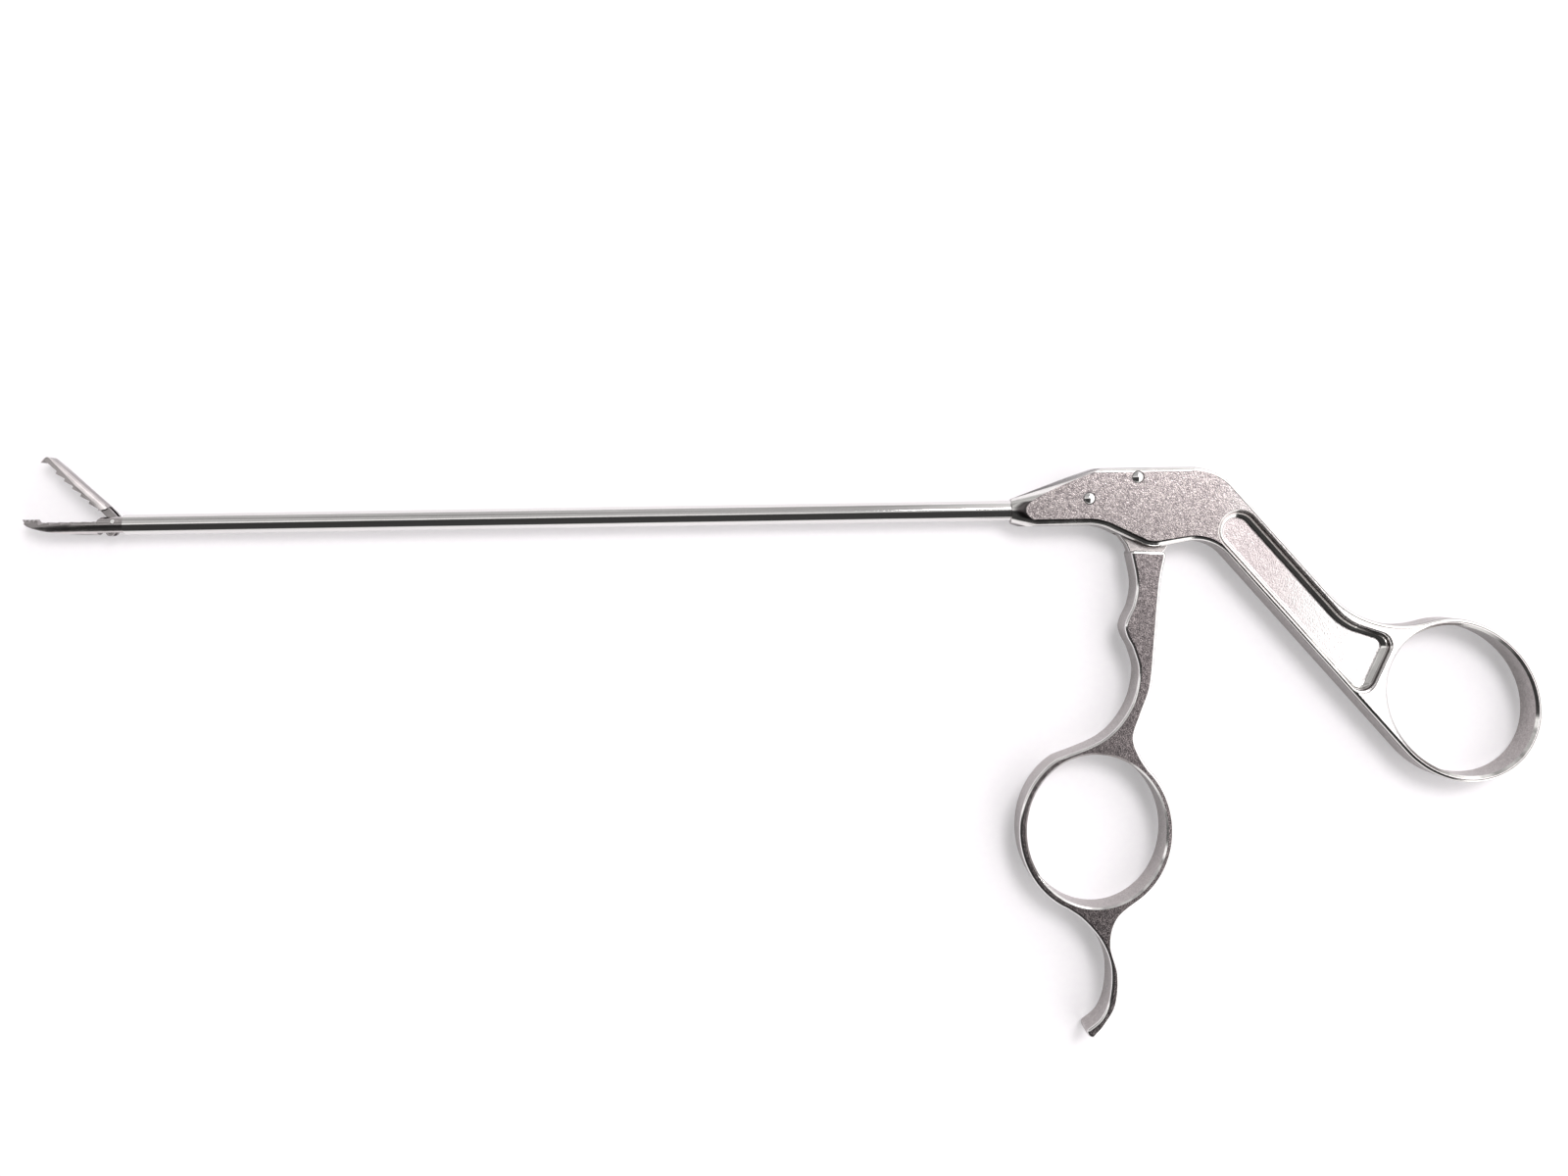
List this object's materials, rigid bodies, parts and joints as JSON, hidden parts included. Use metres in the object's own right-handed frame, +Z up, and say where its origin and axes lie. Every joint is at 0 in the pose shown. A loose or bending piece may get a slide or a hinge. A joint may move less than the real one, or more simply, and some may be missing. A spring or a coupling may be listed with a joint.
{
  "type": "arthroscopic grasping forceps",
  "caption": "Arthroscopic grasping forceps: thin straight shaft, one hinged toothed jaw with a hooked tip, ring handle with a finger lever and a hook.",
  "frame": {"origin": "on the handle's underside, below the shaft axis and level with the lever's pivot", "axes": "+X along the shaft from the jaws to the handle, +Y away from the finger ring, +Z up from the side that the instrument lies on"},
  "size_m": [0.253, 0.099, 0.0064],
  "materials": {
    "blasted_handle_steel": "bead-blasted faces, polished bevels",
    "blasted_lever_steel": "bead-blasted faces, polished edges",
    "polished_pin_steel": "polished",
    "mirror_polished_steel": "mirror polished",
    "drawn_rod_steel": "plain",
    "jaw_steel": "polished"
  },
  "bodies": {
    "handle": {"handle_body": "blasted_handle_steel", "lever_pivot_pin": "polished_pin_steel", "shaft_lock_pin": "polished_pin_steel", "shaft_tube": "mirror_polished_steel", "rod_bushing": "drawn_rod_steel", "fixed_jaw": "jaw_steel", "jaw_pivot_pin": "polished_pin_steel"},
    "lever": {"lever": "blasted_lever_steel"},
    "rod": {"pull_rod": "drawn_rod_steel", "jaw_drive_pin": "polished_pin_steel", "rod_end": "drawn_rod_steel", "rod_cross_pin": "polished_pin_steel"},
    "jaw": {"moving_jaw": "jaw_steel"}
  },
  "joints": [
    {"name": "lever_pivot", "type": "hinge", "parent": "handle", "child": "lever", "pos_m": [0, 0.00517, 0.003], "axis": [0, 0, 1], "range_deg": [0, 14.1]},
    {"name": "rod_slide", "type": "slide", "parent": "handle", "child": "rod", "axis": [1, 0, 0], "range_m": [0, 0.00128]},
    {"name": "jaw_pivot", "type": "hinge", "parent": "handle", "child": "jaw", "pos_m": [-0.171, 0.0005, 0.003], "axis": [0, 0, 1], "range_deg": [0, 42.4]}
  ],
  "couplings": [
    {"joint": "rod_slide", "follows": "lever_pivot", "m_per_rad": 0.0051963},
    {"joint": "jaw_pivot", "follows": "lever_pivot", "ratio": 3.0042}
  ]
}
